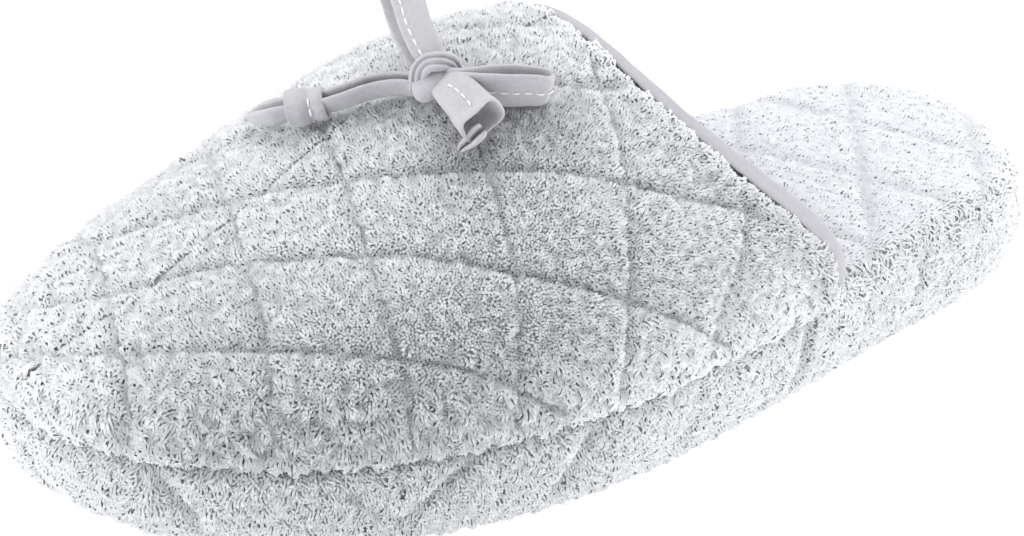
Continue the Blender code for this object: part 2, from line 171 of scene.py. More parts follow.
# Creases of the wall: station and height at their top, then at their bottom, and how deep they pull.
SOLE_CREASES_LATERAL = [
    (0.6, 15, 2.4, 6, 0.9),
    (12, 22, 20, 9, 1.5),
    (47, 15, 54, 7, 0.7),
    (71, 19, 55, 7, 1.2),
    (101, 21, 90, 7, 1.1),
    (129, 18, 123, 7, 0.5),
    (165, 20, 160, 6, 1.6),
    (187, 17, 183, 8, 0.5),
    (209, 22, 204, 12, 0.9),
    (231, 21, 226, 12, 0.5),
    (252, 20, 247, 11, 0.6),
]
SOLE_CREASES_MEDIAL = [
    (6, 20, 11, 8, 0.8),
    (26, 21, 34, 9, 1.2),
    (58, 19, 49, 8, 0.7),
    (80, 20, 90, 7, 1.1),
    (118, 19, 109, 8, 0.9),
    (146, 20, 153, 8, 0.6),
    (182, 20, 175, 7, 1.2),
    (211, 21, 217, 10, 0.6),
    (243, 20, 237, 10, 0.8),
]
CREASE_WIDTH = 1.7
# Stuffing that rises to the insole along the rim, and to the upper along its seam, more at the toe.
RIM_FILL = 1.9
RIM_REACH = 3.0
SEAM_FILL = 1.6
SEAM_FILL_TOE = 1.0
SEAM_REACH = 4.0
TREAD_THREAD = 1.4
SOLE_LOOP_SPACING = 0.50
SOLE_LOOP_HEIGHT = 1.15
SOLE_LOOP_RIM = 0.3
SOLE_YARN = 0.7
# How pale the wall's yarn is, and how much paler painted light makes it at its middle, at an x and over a
# reach.
SOLE_PALE = 0.62
SOLE_PAINTED_LIGHT_MIDDLE = 0.38
SOLE_PAINTED_LIGHT_X = -10.0
SOLE_PAINTED_LIGHT_REACH = 55.0
# Yarn loops of all the towelling: span for their height, room below them, depth of their roots,
# and the sizes of the tufts and combed locks that they gather in.
LOOP_SPAN = 1.5
PILE_ROOM = 0.9
LOOP_ROOT = 0.45
LOOP_GRAIN = 0.8
LOOP_SOFTNESS = 0.7
COMB_SHARE = 5.0
TUFT_SIZE = 1.9
LOCK_SIZE = 3.0
LOCK_LEAN = 0.5
YARN_SEED = 7


def points_of(piece):
    """Vertex places in millimetres."""
    flat = np.empty(3 * len(piece.data.vertices), np.float32)
    piece.data.vertices.foreach_get("co", flat)
    return flat.reshape(-1, 3).astype(float) / MM


def normals_of(piece):
    """Vertex normals."""
    flat = np.empty(3 * len(piece.data.vertices), np.float32)
    piece.data.vertex_normals.foreach_get("vector", flat)
    return flat.reshape(-1, 3).astype(float)


def set_points(piece, points):
    """Moves the vertices to these places, in millimetres."""
    piece.data.vertices.foreach_set("co", (points * MM).astype(np.float32).ravel())
    piece.data.update()


def unit(vectors):
    """Vectors of the same directions, one long."""
    return vectors / np.maximum(np.linalg.norm(vectors, axis=-1, keepdims=True), 1e-9)


def near(far, reach):
    """1 on the spot, falling off softly with the distance: about a third is left at the reach."""
    return np.exp(-(far / reach) ** 2)


def ramp(values, start, over):
    """0 up to the start and 1 from so far past it, even between; a negative way rises downwards."""
    return np.clip((values - start) / over, 0, 1)


def way_gone(line):
    """How far along a line of points each of them lies."""
    return np.concatenate([[0.0], np.cumsum(np.linalg.norm(np.diff(line, axis=0), axis=1))])


def activate(piece):
    """Makes a piece the only selected one and the active one, for Blender's operators."""
    bpy.ops.object.select_all(action="DESELECT")
    bpy.context.view_layer.objects.active = piece
    piece.select_set(True)


def copy_of_solid(cad_node, name):
    """New piece with a copy of a solid's mesh, without materials."""
    piece = bpy.data.objects.new(name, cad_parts[cad_node].data.copy())
    piece.data.name = name
    piece.data.materials.clear()
    bpy.context.scene.collection.objects.link(piece)
    return piece


def even_skin(cad_node, name, voxel, smoothing):
    """Copy of a solid with an even skin of small faces, ready to be quilted."""
    piece = copy_of_solid(cad_node, name)
    activate(piece)
    bpy.ops.object.mode_set(mode="EDIT")
    bpy.ops.mesh.select_all(action="SELECT")
    bpy.ops.mesh.remove_doubles(threshold=1e-6)
    bpy.ops.object.mode_set(mode="OBJECT")
    skin = piece.modifiers.new("skin", "REMESH")
    skin.mode = "VOXEL"
    skin.voxel_size = voxel * MM
    bpy.ops.object.modifier_apply(modifier=skin.name)
    ease = piece.modifiers.new("ease", "SMOOTH")
    ease.factor = 0.5
    ease.iterations = smoothing
    bpy.ops.object.modifier_apply(modifier=ease.name)
    bpy.ops.object.shade_smooth()
    return piece


def resampled(rows, step):
    """Points a step apart along a smooth curve through the rows."""
    rows = np.asarray(rows, float)
    knots = way_gone(rows)
    return through(knots, rows, np.linspace(0.0, knots[-1], max(2, int(knots[-1] / step) + 1)))


def through(knots, values, at):
    """Smooth curve through the values at the knots, read at the given places."""
    knots, values, at = (np.asarray(v, float) for v in (knots, values, at))
    slope = np.gradient(values, knots, axis=0)
    i = np.clip(np.searchsorted(knots, at) - 1, 0, len(knots) - 2)
    h = knots[i + 1] - knots[i]
    t = (at - knots[i]) / h
    if values.ndim > 1:
        h, t = h[:, None], t[:, None]
    return (
        (1 + 2 * t) * (1 - t) ** 2 * values[i]
        + t * (1 - t) ** 2 * h * slope[i]
        + t * t * (3 - 2 * t) * values[i + 1]
        + t * t * (t - 1) * h * slope[i + 1]
    )


def nearest_line(lines, points):
    """How far each point is from the nearest of the lines, and which line that is."""
    samples = np.vstack(lines)
    which = np.repeat(np.arange(len(lines)), [len(line) for line in lines])
    tree = KDTree(len(samples))
    for i, sample in enumerate(samples):
        tree.insert(sample, i)
    tree.balance()
    found = [tree.find(point) for point in points]
    return np.array([hit[2] for hit in found]), which[[hit[1] for hit in found]]


def nearest_on_solid(cad_node, points):
    """How far each point is from the surface of a solid, and the way there."""
    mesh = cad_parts[cad_node].data
    corners = [vertex.co / MM for vertex in mesh.vertices]
    tree = BVHTree.FromPolygons(corners, [tuple(face.vertices) for face in mesh.polygons])
    found = [tree.find_nearest(Vector(point)) for point in points]
    way = unit(np.array([hit[0] for hit in found]) - points)
    return np.array([hit[3] for hit in found]), way


def lumps(points, size):
    """Soft unevenness of stuffing, about -1 to 1, with lumps of that size."""
    return np.array([noise.noise(Vector(point / size)) for point in points])


def padding(points):
    """How far the ground cloth stands off the solid, with the unevenness of the wadding under it."""
    return 0.45 * lumps(points, 15.0) + 0.2 * lumps(points, 6.0) - PILE_ROOM


def towelling(name, light, dark):
    """Cotton towelling: matt yarn loops, each a shade of its own, with painted shade where they root in the
    cloth.
    """
    material, shader = new_material(name)
    tip = node(material, "ShaderNodeAttribute", attribute_name="tip")
    shade = node(material, "ShaderNodeAttribute", attribute_name="shade")
    # The dark colour is painted shade at the roots; the light one shows at the tips, as far as each loop's
    # shade allows.
    lit = node(material, "ShaderNodeMath", {0: tip.outputs["Fac"], 1: shade.outputs["Fac"]},
               operation="MULTIPLY")
    colour = node(material, "ShaderNodeMix",
                  {"Factor": lit.outputs[0], "A": linear(dark), "B": linear(light)},
                  data_type="RGBA")
    material.node_tree.links.new(colour.outputs["Result"], shader.inputs["Base Color"])
    shader.inputs["Roughness"].default_value = 1.0
    shader.inputs["Specular IOR Level"].default_value = 0.1
    shader.inputs["Sheen Weight"].default_value = 0.3
    shader.inputs["Sheen Roughness"].default_value = 0.6
    return material


def backing(name, light, dark, crease):
    """Ground cloth of the towelling: short loops too fine to model, darkest along the stitch lines and
    creases, where shade is painted in with the crease colour.
    """
    material, shader = new_material(name)
    place = node(material, "ShaderNodeTexCoord")
    grain = node(material, "ShaderNodeTexNoise",
                 {"Vector": place.outputs["Object"], "Scale": 1 / (LOOP_GRAIN * MM), "Detail": 1.0})
    cloth = node(material, "ShaderNodeMix",
                 {"Factor": grain.outputs["Fac"], "A": linear(dark), "B": linear(light)},
                 data_type="RGBA")
    # Painted shade: the crease colour is laid over the cloth along the stitch lines and creases.
    painted_crease_shade = node(material, "ShaderNodeAttribute", attribute_name="painted_crease_shade")
    colour = node(material, "ShaderNodeMix",
                  {"Factor": painted_crease_shade.outputs["Fac"], "A": cloth.outputs["Result"], "B": linear(crease)},
                  data_type="RGBA")
    bump = node(material, "ShaderNodeBump",
                {"Height": grain.outputs["Fac"], "Strength": 0.8, "Distance": LOOP_GRAIN * MM})
    material.node_tree.links.new(colour.outputs["Result"], shader.inputs["Base Color"])
    material.node_tree.links.new(bump.outputs["Normal"], shader.inputs["Normal"])
    shader.inputs["Roughness"].default_value = 1.0
    shader.inputs["Specular IOR Level"].default_value = 0.1
    return material


def set_attribute(mesh, label, values):
    """Stores a value at each vertex for the materials to read."""
    attribute = mesh.attributes.new(label, "FLOAT", "POINT")
    attribute.data.foreach_set("value", np.asarray(values, np.float32))


def second_material(piece, material, chosen):
    """Gives a second material to the faces whose corners are all chosen."""
    mesh = piece.data
    corners = np.empty(len(mesh.loops), np.int32)
    mesh.loops.foreach_get("vertex_index", corners)
    starts = np.empty(len(mesh.polygons), np.int32)
    mesh.polygons.foreach_get("loop_start", starts)
    mesh.materials.append(material)
    inside = np.logical_and.reduceat(chosen[corners], starts)
    mesh.polygons.foreach_set("material_index", inside.astype(np.int32))


def scattered(piece, keep, spacing, rng):
    """Places over the kept part of a skin, no two nearer than the spacing, and their triangles."""
    mesh = piece.data
    mesh.calc_loop_triangles()
    corners = np.empty(3 * len(mesh.loop_triangles), np.int32)
    mesh.loop_triangles.foreach_get("vertices", corners)
    corners = corners.reshape(-1, 3)
    corners = corners[keep[corners].all(axis=1)]
    points = points_of(piece)
    a, b, c = (points[corners[:, i]] for i in range(3))
    area = np.linalg.norm(np.cross(b - a, c - a), axis=1) / 2
    count = int(5 * area.sum() / spacing ** 2)
    pick = rng.choice(len(corners), count, p=area / area.sum())
    u, v = rng.random(count), rng.random(count)
    flip = u + v > 1
    u, v = np.where(flip, 1 - u, u), np.where(flip, 1 - v, v)
    share = np.stack([1 - u - v, u, v], axis=1)
    places = np.einsum("nk,nkd->nd", share, points[corners[pick]])
    tree = KDTree(count)
    for i, place in enumerate(places):
        tree.insert(place, i)
    tree.balance()
    free = np.ones(count, bool)
    kept = []
    for i in range(count):
        if not free[i]:
            continue
        kept.append(i)
        for _, j, _ in tree.find_range(places[i], spacing):
            free[j] = False
    return places[kept], corners[pick[kept]], share[kept]


def pile(name, piece, keep, spacing, height, span, thick, lie, loose, comb, tone_and_painted_light, rng):
    """Mesh of yarn over the kept part of a skin: loops where it is close, combed strands where loose."""
    places, corners, share = scattered(piece, keep, spacing, rng)
    count = len(places)
    up = unit(np.einsum("nk,nkd->nd", share, normals_of(piece)[corners]))
    deep = np.einsum("nk,nk->n", share, lie[corners])[:, None]
    free = np.einsum("nk,nk->n", share, loose[corners])[:, None]
    loop_tone_and_painted_light = np.einsum("nk,nk->n", share, tone_and_painted_light[corners])
    height = np.einsum("nk,nk->n", share, height[corners])[:, None]
    lock = np.array([noise.noise_vector(Vector(place / LOCK_SIZE)) for place in places])
    tuft = np.array([noise.noise(Vector(place / TUFT_SIZE)) for place in places])[:, None]
    comb = np.broadcast_to(np.asarray(comb, float), (len(keep), 3))
    combed = np.einsum("nk,nkd->nd", share, comb[corners]) + LOCK_LEAN * lock
    combed = combed - np.sum(combed * up, axis=1, keepdims=True) * up
    along = rng.normal(size=(count, 3)) + COMB_SHARE * free * combed
    along = unit(along - np.sum(along * up, axis=1, keepdims=True) * up)
    tall = height * (0.85 + 0.3 * rng.random((count, 1)) + 1.0 * tuft) * (1 - 0.6 * deep)
    half = span * height / 2 * (0.75 + 0.5 * rng.random((count, 1))) * (1 + 0.5 * free)
    lean = tall * combed
    root = places - half * along - LOOP_ROOT * up
    middle = places + tall * up + lean
    end = places + half * along + (0.8 * free * tall - (1 - free) * LOOP_ROOT) * up + (1 + free) * lean
    course = unit(end - root)
    first = unit(np.cross(course, np.cross(up, course)))
    second = np.cross(course, first)
    angles = 2 * np.pi * np.arange(3) / 3
    section = np.cos(angles)[:, None] * first[:, None] + np.sin(angles)[:, None] * second[:, None]
    radius = thick / 2 * (0.85 + 0.3 * rng.random((count, 1, 1)))
    # A loop is its root, the three corners of its middle and its end, joined by six faces.
    vertices = np.concatenate([root[:, None], middle[:, None] + radius * section, end[:, None]], axis=1)
    faces = []
    for i in range(3):
        after = (i + 1) % 3
        faces.append((0, 1 + after, 1 + i))
        faces.append((4, 1 + i, 1 + after))
    faces = (np.array(faces)[None] + 5 * np.arange(count)[:, None, None]).reshape(-1, 3)
    mesh = bpy.data.meshes.new(name)
    mesh.from_pydata((vertices.reshape(-1, 3) * MM).tolist(), [], faces.tolist())
    mesh.shade_smooth()
    own = np.concatenate([up[:, None], section, up[:, None]], axis=1)
    soft = unit((1 - LOOP_SOFTNESS) * own + LOOP_SOFTNESS * up[:, None])
    mesh.normals_split_custom_set_from_vertices(soft.reshape(-1, 3).tolist())
    tips = np.tile([0.0, 1.0, 1.0, 1.0, 0.0], (count, 1))
    tips[:, 4:] = free
    set_attribute(mesh, "tip", tips.ravel())
    # A loop's shade: the tone with painted light and shade given for its place, a random part, darker where
    # its tuft is lower, and painted shade where it lies in a stitch line or crease.
    shade = loop_tone_and_painted_light - 0.06 + 0.12 * rng.random(count) + 0.6 * tuft[:, 0] - 0.55 * deep[:, 0]
    set_attribute(mesh, "shade", np.repeat(np.clip(shade, 0, 1), 5))
    made = bpy.data.objects.new(name, mesh)
    bpy.context.scene.collection.objects.link(made)
    return made


rng = np.random.default_rng(YARN_SEED)
# Noise vectors follow the clock unless they are seeded as well.
noise.seed_set(YARN_SEED)
outline = np.array(OUTLINE)
edge = np.vstack([outline[:, [0, 1]], outline[-2::-1, [0, 2]]])
edge = resampled(edge - (MIDDLE_X, 0.0), 0.5)
steps = way_gone(edge)
turn_back = int(edge[:, 0].argmax())
creases, pulls = [], []
for table_rows, way in (
    (SOLE_CREASES_LATERAL, slice(None, turn_back)),
    (SOLE_CREASES_MEDIAL, slice(None, turn_back, -1)),
):
    for top, top_z, bottom, bottom_z, pull in table_rows:
        gone = np.interp(np.array([top, bottom]) - MIDDLE_X, edge[way, 0], steps[way])
        creases.append(resampled(np.column_stack([gone, [top_z, bottom_z], [0.0, 0.0]]), 0.5))
        pulls.append(pull)

sole = even_skin("sole", "quilted_sole", SOLE_VOXEL, 6)
points, normals = points_of(sole), normals_of(sole)
tree = KDTree(len(edge))
for i, corner in enumerate(edge):
    tree.insert((*corner, 0.0), i)
tree.balance()
round_wall = np.array([steps[tree.find((point[0], point[1], 0.0))[1]] for point in points])
far, which = nearest_line(creases, np.column_stack([round_wall, points[:, 2], 0 * round_wall]))
crease = np.array(pulls)[which] * near(far, CREASE_WIDTH)
wall = ramp(points[:, 2], 1.5, 4.0) * ramp(np.abs(normals[:, 2]), 0.75, -0.2)
rim, to_insole = nearest_on_solid("insole", points)
beside = ramp(points[:, 2], 14.0, 4.0) * np.clip(1.3 - 1.3 * to_insole[:, 2], 0, 1)
rim_fill = RIM_FILL * beside * near(rim, RIM_REACH) * ramp(rim, 0.0, 1.5)
seam = nearest_on_solid("upper", points)[0]
at_toe = ramp(points[:, 0], -80.0, -40.0)
seam_fill = (SEAM_FILL + SEAM_FILL_TOE * at_toe) * wall * near(seam, SEAM_REACH) * ramp(seam, 0.0, 1.2)
fill = np.maximum(rim_fill, seam_fill)
rise_out = wall * (padding(points) - crease) + fill
set_points(sole, points + rise_out[:, None] * normals)
cotton = towelling("cotton_towelling", "#F0F2F4", "#B6B8BB")
# The last colour of each ground is the painted shade of its stitch lines and creases.
ground = backing("towelling_ground", "#DEE0E2", "#B4B6B9", "#77797C")
# The sole's ground is given lighter colours than the upper's, as painted light.
sole_ground = backing("sole_towelling_ground_painted_light", "#EAECEE", "#D4D6D9", "#8C8E91")
# Painted shade in the creases of the wall, darkest where they pull deepest.
set_attribute(sole.data, "painted_crease_shade", wall * np.clip(crease, 0, 1) ** 1.5)
sole.data.materials.append(sole_ground)
# Cotton canvas: flat, greyer than the towelling, woven plain. Its threads are drawn at twice their
# real spacing, so that the weave shows.
canvas, shader = new_material("tread_canvas")
place = node(canvas, "ShaderNodeTexCoord")
threads = [
    node(canvas, "ShaderNodeTexWave",
         {"Vector": place.outputs["Object"], "Scale": 2 * math.pi / 20 / (TREAD_THREAD * MM),
          "Distortion": 0.8, "Detail": 1.0},
         wave_type="BANDS", bands_direction=way)
    for way in ("X", "Y")
]
weave = node(canvas, "ShaderNodeMath", {0: threads[0].outputs["Fac"], 1: threads[1].outputs["Fac"]},
             operation="MULTIPLY")
colour = node(canvas, "ShaderNodeMix",
              {"Factor": weave.outputs[0], "A": linear("#B4B5B7"), "B": linear("#D2D3D5")},
              data_type="RGBA")
bump = node(canvas, "ShaderNodeBump",
            {"Height": weave.outputs[0], "Strength": 0.6, "Distance": 0.3 * MM})
canvas.node_tree.links.new(colour.outputs["Result"], shader.inputs["Base Color"])
canvas.node_tree.links.new(bump.outputs["Normal"], shader.inputs["Normal"])
shader.inputs["Roughness"].default_value = 0.9
second_material(sole, canvas, (normals[:, 2] < -0.9) & (points[:, 2] < 3.0))
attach(sole, "root")
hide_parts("sole")

# No loops grow on the tread, under the insole or where the upper is sewn down.
points, normals = points_of(sole), normals_of(sole)
keep = (normals[:, 2] > -0.9) & (points[:, 2] > 0.8)
rim, to_insole = nearest_on_solid("insole", points)
keep &= (rim > 0.3) & ((to_insole[:, 2] < 0.8) | (rim > 4.0)) & (seam > 0.6)
at_rim = near(rim, RIM_REACH)
long = SOLE_LOOP_HEIGHT + SOLE_LOOP_RIM * at_rim
comb = np.array([0.0, 0.0, -0.5]) * (1 - at_rim[:, None]) + 0.5 * at_rim[:, None] * to_insole
# Painted light: the wall's yarn is paler round its middle.
tone_and_painted_light = SOLE_PALE + SOLE_PAINTED_LIGHT_MIDDLE * near(points[:, 0] - SOLE_PAINTED_LIGHT_X, SOLE_PAINTED_LIGHT_REACH)
sole_pile = pile("sole_pile", sole, keep, SOLE_LOOP_SPACING, long, LOOP_SPAN, SOLE_YARN,
                 np.clip(crease, 0, 1), np.full(len(points), 0.6), comb, tone_and_painted_light, rng)
# Lighter yarn colours than the upper's, as painted light.
sole_pile.data.materials.append(towelling("sole_cotton_towelling_painted_light", "#EEF0F2", "#D2D4D7"))
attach(sole_pile, "root")

# Insole: a thin padded sock of towelling in paler colours, which are painted light, quilted in diamonds and
# laid into the sole.
# Its edge is sewn down round the open heel, and under the vamp it runs on to the toe.
INSOLE_VOXEL = 1.6
INSOLE_QUILT_WAYS = [
    # angle of the stitch lines to the foot, spacing, offset of the first line
    (52.0, 29.0, 9.5),
    (-63.0, 29.0, -5.7),
]
INSOLE_PUFF = 0.3
INSOLE_GROOVE = 0.55
INSOLE_GROOVE_WIDTH = 1.6
INSOLE_LOOP_SPACING = 0.53
INSOLE_LOOP_HEIGHT = 0.75
INSOLE_LOOP_EDGE = 0.5
INSOLE_LOOP_SPAN = 2.2
INSOLE_YARN = 0.68
INSOLE_PILE_FROM = -45.0

insole = even_skin("insole", "quilted_insole", INSOLE_VOXEL, 4)
points, normals = points_of(insole), normals_of(insole)
far = np.full(len(points), 1e3)
for angle, spacing, offset in INSOLE_QUILT_WAYS:
    across = np.array([math.sin(math.radians(angle)), -math.cos(math.radians(angle))])
    along_rows = (points[:, :2] @ across - offset) / spacing
    far = np.minimum(far, np.abs(along_rows - np.round(along_rows)) * spacing)
top = ramp(normals[:, 2], 0.2, 0.3)
groove = INSOLE_GROOVE * near(far, INSOLE_GROOVE_WIDTH)
rise_out = padding(points) + INSOLE_PUFF * (1 - near(far, 8.0)) - groove
set_points(insole, points + (top * rise_out)[:, None] * normals)
# Faint painted shade along the insole's stitch lines.
set_attribute(insole.data, "painted_crease_shade", 0.4 * near(far, 1.2))
# Paler ground colours than the upper's, as painted light.
insole.data.materials.append(backing("pale_towelling_ground_painted_light", "#EAECEF", "#DADCE0", "#A4A6AA"))
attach(insole, "root")
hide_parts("insole")

# The loops start under the vamp, where they can still be seen, and lean out over the rolled edge.
points, normals = points_of(insole), normals_of(insole)
keep = (points[:, 0] > INSOLE_PILE_FROM) & (normals[:, 2] > -0.2)
keep &= nearest_on_solid("upper", points)[0] > 2.0
rolled = ramp(normals[:, 2], 0.93, -0.4)[:, None]
long = INSOLE_LOOP_HEIGHT + INSOLE_LOOP_EDGE * rolled[:, 0]
comb = (1 - rolled) * (0.7, 0.0, 0.0) + rolled * (normals * (0.9, 0.9, 0.0) - (0.0, 0.0, 0.4))
insole_pile = pile("insole_pile", insole, keep, INSOLE_LOOP_SPACING, long, INSOLE_LOOP_SPAN, INSOLE_YARN,
                   near(far, INSOLE_GROOVE_WIDTH), np.full(len(points), 0.6), comb,
                   np.full(len(points), 0.5), rng)
# Paler root colour than the upper's yarn, as painted light.
pale_cotton = towelling("pale_cotton_towelling_painted_light", "#ECEEF2", "#D3D5D9")
insole_pile.data.materials.append(pale_cotton)
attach(insole_pile, "root")

# Upper: one quilted vamp of padded towelling, shaped over the last, sewn down all round the sole
# and open behind the instep. Two families of stitch lines cross it on the bias of the cloth.
UPPER_VOXEL = 1.2
UPPER_INSET = 1.0
WIDEST_Z = 25.2
CROWN = [
    # station from the upper's tip, crown height, crown y, section power
    (0.0, WIDEST_Z, 8.9, 2.20),
    (1.0, 28.0, 8.9, 2.20),
    (4.0, 30.5, 8.8, 2.25),
    (8.0, 33.0, 8.7, 2.30),
    (22.0, 39.2, 8.2, 2.30),
    (42.0, 48.8, 7.4, 2.25),
    (60.0, 59.0, 6.9, 2.15),
    (80.0, 69.8, 6.4, 2.10),
    (100.0, 77.6, 6.0, 2.05),
    (116.0, 80.0, 5.9, 2.00),
    (132.0, 77.8, 5.9, 2.00),
    (155.0, 74.0, 5.9, 2.00),
    (190.0, 69.0, 5.9, 2.00),
]
# Stitch lines in the cloth: station along the foot, and way over the vamp from its crown line.
LONG_LINES = [
    [(2, 16), (4, 4), (10, -5), (19, -16), (37, -34), (51, -48), (60, -56), (78, -74), (90, -88)],
    [(6, 22), (17, 9), (27, 0), (38, -7), (50, -20), (69, -39), (84, -54), (108, -72), (135, -87)],
    [(12, 40), (27, 26), (43, 12), (59, -4), (77, -23), (100, -40), (130, -54), (147, -58), (165, -66)],
    [(20, 56), (40, 42), (62, 22), (85, 0), (100, -14), (113, -22), (136, -28), (150, -32)],
    [(40, 74), (62, 54), (88, 28), (114, 4), (134, -6), (146, -10)],
    [(66, 86), (90, 62), (116, 34), (140, 14), (150, 8)],
    [(100, 92), (120, 68), (146, 44), (160, 34)],
    [(132, 90), (150, 70), (170, 56)],
]
CROSS_LINES = [
    [(11, -36), (12, -29), (17, -15), (24, 4), (30, 24), (34, 44)],
    [(31, -60), (33, -50), (41, -27), (50, 0), (60, 30), (68, 70)],
    [(57, -78), (58, -60), (60, -44), (70, -8), (82, 30), (96, 88)],
    [(79, -90), (81, -72), (84, -60), (89, -39), (99, 0), (112, 44), (124, 92)],
    [(104, -92), (107, -78), (115, -53), (122, -33), (132, 0), (142, 40), (154, 92)],
    [(130, -92), (132, -83), (143, -65), (147, -54), (160, -20)],
]
LONG_GROOVE = 1.15
CROSS_GROOVE = 0.9
GROOVE_WIDTH = 1.2
LONG_PUFF = 0.3
CROSS_PUFF = 0.25
BRIM_RISE = 1.6
UPPER_LOOP_SPACING = 0.47
UPPER_LOOP_HEIGHT = 0.95
UPPER_LOOP_LOW = 0.65
UPPER_LOOP_BRIM = 0.4
UPPER_YARN = 0.76
UPPER_PALE = 0.69
PILE_SPLIT_Y = 6.0
# Middle of the foot's hollow, y and z, and the x where it starts behind the toe.
HEART = (6.0, 24.0)
HEART_FROM = -112.0


def sides(inset):
    """Lateral and medial plan curves, both from the toe tip to the heel, at an inset."""
    heel = int(edge[:, 0].argmax())
    step = unit(np.gradient(edge, axis=0))
    ring = edge + inset * np.stack([-step[:, 1], step[:, 0]], axis=1) + (MIDDLE_X, 0.0)
    return ring[:heel + 1], ring[heel:][::-1]


def vamp(station, turn):
    """Point of the upper's skin at a station and a turn (-90 lateral, 90 medial)."""
    station, turn = np.broadcast_arrays(np.asarray(station, float), np.asarray(turn, float))
    rows = np.array(CROWN)
    root = np.sqrt(np.clip(station - UPPER_INSET, 0, None))
    crown, middle, power = (through(np.sqrt(rows[:, 0]), rows[:, i], root.ravel()).reshape(root.shape)
                            for i in (1, 2, 3))
    lateral, medial = sides(UPPER_INSET)
    left = np.interp(station, lateral[:, 0], lateral[:, 1])
    right = np.interp(station, medial[:, 0], medial[:, 1])
    angle = np.radians(turn)
    half = np.where(angle < 0, middle - left, right - middle)
    y = middle + np.sign(angle) * half * np.abs(np.sin(angle)) ** (2 / power)
    z = WIDEST_Z + (crown - WIDEST_Z) * np.clip(np.cos(angle), 0, 1) ** (2 / power)
    return np.stack([station - MIDDLE_X, y, z], axis=-1)


def over_vamp(station, way):
    """Point of the upper's skin so far over the vamp from its crown line, to the medial side if positive."""
    turns = np.linspace(-90, 90, 121)
    section = vamp(np.full(turns.shape, station), turns)
    gone = way_gone(section)
    gone -= gone[len(turns) // 2]
    return np.array([np.interp(way, gone, section[:, i]) for i in range(3)])


def stitch_lines(tables):
    """Lines of points on the upper's skin, one for each row of a table."""
    return [np.array([over_vamp(s, w) for s, w in resampled(rows, 1.0)]) for rows in tables]


upper = even_skin("upper", "quilted_upper", UPPER_VOXEL, 4)
points, normals = points_of(upper), normals_of(upper)
far_long = nearest_line(stitch_lines(LONG_LINES), points)[0]
far_cross = nearest_line(stitch_lines(CROSS_LINES), points)[0]
heart = np.column_stack([np.maximum(points[:, 0], HEART_FROM), np.full((len(points), 2), HEART)])
outside = np.sum(unit(points - heart) * normals, axis=1)
outer = ramp(outside, -0.1, 0.5)
bound, to_binding = nearest_on_solid("collar_binding", points)
clear = 1 - near(bound, 4.0)
pull = clear * (1.0 + 0.8 * lumps(points, 12.0))
groove = LONG_GROOVE * pull * near(far_long, GROOVE_WIDTH)
groove = np.maximum(groove, CROSS_GROOVE * pull * near(far_cross, GROOVE_WIDTH))
puff = LONG_PUFF * (1 - near(far_long, 7.0)) + CROSS_PUFF * (1 - near(far_cross, 6.0))
brim = BRIM_RISE * near(bound, 5.0) * ramp(bound, 0.5, 0.4)
rise_out = padding(points) + puff - groove + brim
set_points(upper, points + (outer * rise_out)[:, None] * normals)
# Painted shade along the stitch lines, none near the binding.
painted_crease_shade = np.maximum(near(far_long, GROOVE_WIDTH), 0.8 * near(far_cross, 1.0)) * clear
set_attribute(upper.data, "painted_crease_shade", painted_crease_shade)
upper.data.materials.append(ground)
lining = backing("lining_towelling", "#DCDEE1", "#C8CACE", "#B4B6BA")
second_material(upper, lining, outside < -0.05)
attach(upper, "root")
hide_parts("upper")

# The pile lies down in the stitch lines. At the collar it stands up to the binding but not through it.
points, normals = points_of(upper), normals_of(upper)
x, y, z = points.T
lie = np.maximum(near(far_long, 1.3), 0.8 * near(far_cross, 1.2)) * clear
beneath = np.sum(to_binding * normals, axis=1) > 0.8
covered = (outside > 0.1) & ((bound > 0.75) | ((bound > 0.45) & ~beneath))
at_brim = near(bound, 3.0)
loose = np.clip((48.0 - z) / 30.0, 0.1, 0.65)
loose = loose + (0.7 - loose) * at_brim
long = UPPER_LOOP_HEIGHT + UPPER_LOOP_LOW * ramp(z, 40.0, -16.0) + UPPER_LOOP_BRIM * at_brim
long = long * np.where(beneath, np.clip(0.35 * bound, 0.25, 1.0), 1.0)
# Painted light in its yarn: a painted highlight along the hem and at the collar, painted shade low on the
# lateral toe, and a painted shadow of the bow beside it.
painted_hem_highlight = near(z - 21.0, 8.0) * ramp(x, -70.0, 50.0)
shaded = ramp(z, 55.0, -22.0) * ramp(x, -20.0, -60.0)
shaded = shaded * ramp(x, -130.0, 20.0) * ramp(y, 6.0, -20.0)
painted_bow_shadow = near(nearest_on_solid("bow", points)[0], 10.0) * ramp(y, 4.0, -8.0)
# The yarn's tone with these painted highlights, painted shade and painted shadow.
tone_and_painted_light = UPPER_PALE - 0.40 * shaded - 0.65 * painted_bow_shadow + 0.35 * painted_hem_highlight + 0.3 * at_brim
comb = np.array([0.0, 0.0, -0.5]) * (1 - at_brim[:, None]) + 0.5 * at_brim[:, None] * to_binding
for name, half in (("upper_pile_lateral", y < PILE_SPLIT_Y), ("upper_pile_medial", y >= PILE_SPLIT_Y)):
    upper_pile = pile(name, upper, covered & half, UPPER_LOOP_SPACING, long, LOOP_SPAN, UPPER_YARN, lie,
                      loose, comb, tone_and_painted_light, rng)
    upper_pile.data.materials.append(cotton)
    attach(upper_pile, "root")

# Binding: a bias strip of smooth grey jersey folded over the raw edge of the collar and sewn down.
# It is one run from the lateral end of the mouth over the instep to the medial end.
PUCKER = 0.22
FINE_PUCKER = 0.12
JERSEY_WALE = 0.8

